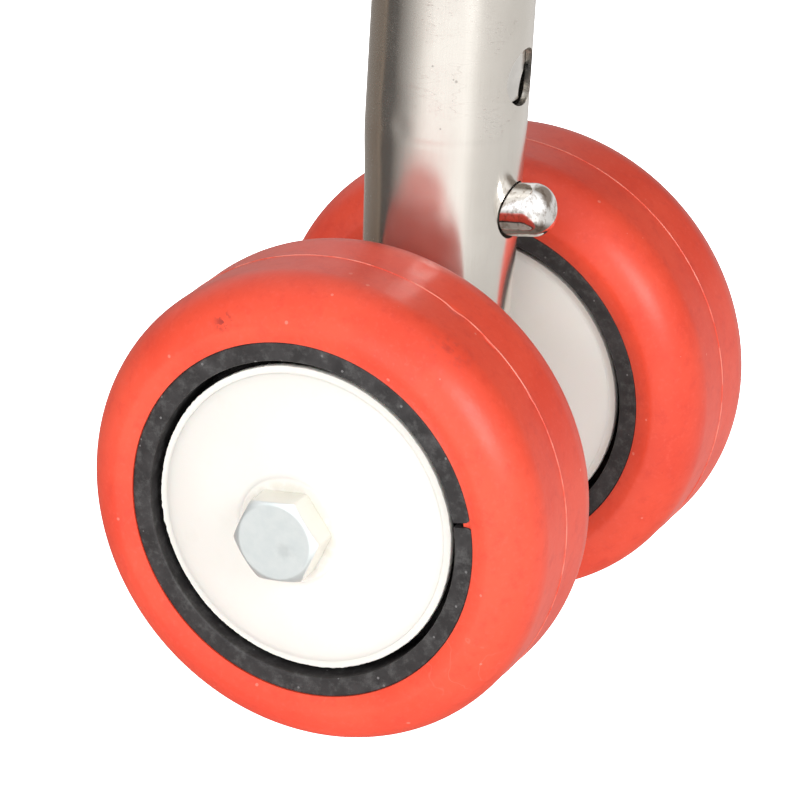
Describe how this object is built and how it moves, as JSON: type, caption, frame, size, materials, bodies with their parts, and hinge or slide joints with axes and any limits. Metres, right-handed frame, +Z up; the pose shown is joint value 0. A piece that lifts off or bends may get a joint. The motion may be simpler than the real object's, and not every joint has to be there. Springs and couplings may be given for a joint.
{
  "type": "twin-wheel trolley leg end",
  "caption": "Round steel leg end with a sprung snap button and a spare lock hole, carried on two red-tyred wheels on one through bolt.",
  "frame": {"origin": "centre of the leg tube's top end", "axes": "+Z up along the leg tube, the axle along Y, the snap button towards +X; the bolt head is at -Y"},
  "size_m": [0.0762, 0.115, 0.1481],
  "materials": {
    "leg_steel": "polished stainless, lightly scratched",
    "liner_steel": "drawn stainless",
    "button_chrome": "bright nickel-chrome plate",
    "spring_steel": "spring strip",
    "zinc_steel": "bright zinc plate",
    "red_tyre": "satin polyurethane",
    "black_core": "matt moulded",
    "ivory_guard": "satin moulded",
    "spacer_steel": "turned",
    "bearing_steel": "ground bearing steel"
  },
  "bodies": {
    "leg": {"leg_tube": "leg_steel", "liner_tube": "liner_steel", "spring_back": "spring_steel", "axle_bolt": "zinc_steel", "lock_nut": "zinc_steel", "nut_washer": "zinc_steel", "leg_washer_near": "zinc_steel", "leg_washer_far": "zinc_steel", "guard_outer_near": "ivory_guard", "guard_inner_near": "ivory_guard", "spacer_near": "spacer_steel", "race_in_a_near": "bearing_steel", "race_in_b_near": "bearing_steel", "guard_outer_far": "ivory_guard", "guard_inner_far": "ivory_guard", "spacer_far": "spacer_steel", "race_in_a_far": "bearing_steel", "race_in_b_far": "bearing_steel"},
    "near_wheel": {"tyre_near": "red_tyre", "core_near": "black_core", "race_out_a_near": "bearing_steel", "race_out_b_near": "bearing_steel", "balls_a_near": "bearing_steel", "balls_b_near": "bearing_steel"},
    "far_wheel": {"tyre_far": "red_tyre", "core_far": "black_core", "race_out_a_far": "bearing_steel", "race_out_b_far": "bearing_steel", "balls_a_far": "bearing_steel", "balls_b_far": "bearing_steel"},
    "button": {"snap_button": "button_chrome"},
    "clip_arm": {"spring_arm": "spring_steel"}
  },
  "joints": [
    {"name": "near_wheel_spin", "type": "hinge", "parent": "leg", "child": "near_wheel", "pos_m": [0, 0, -0.11], "axis": [0, 1, 0], "continuous": true},
    {"name": "far_wheel_spin", "type": "hinge", "parent": "leg", "child": "far_wheel", "pos_m": [0, 0, -0.11], "axis": [0, 1, 0], "continuous": true},
    {"name": "button_press", "type": "slide", "parent": "leg", "child": "button", "axis": [-0.9833, 0, -0.1822], "range_m": [0, 0.0069], "stiffness_N_per_m": 1200, "springref_m": -0.003},
    {"name": "clip_flex", "type": "hinge", "parent": "leg", "child": "clip_arm", "pos_m": [0.00085, 0, -0.046], "axis": [0, 1, 0], "range_deg": [0, 14.8]}
  ],
  "couplings": [
    {"joint": "clip_flex", "follows": "button_press", "rad_per_m": 37}
  ]
}
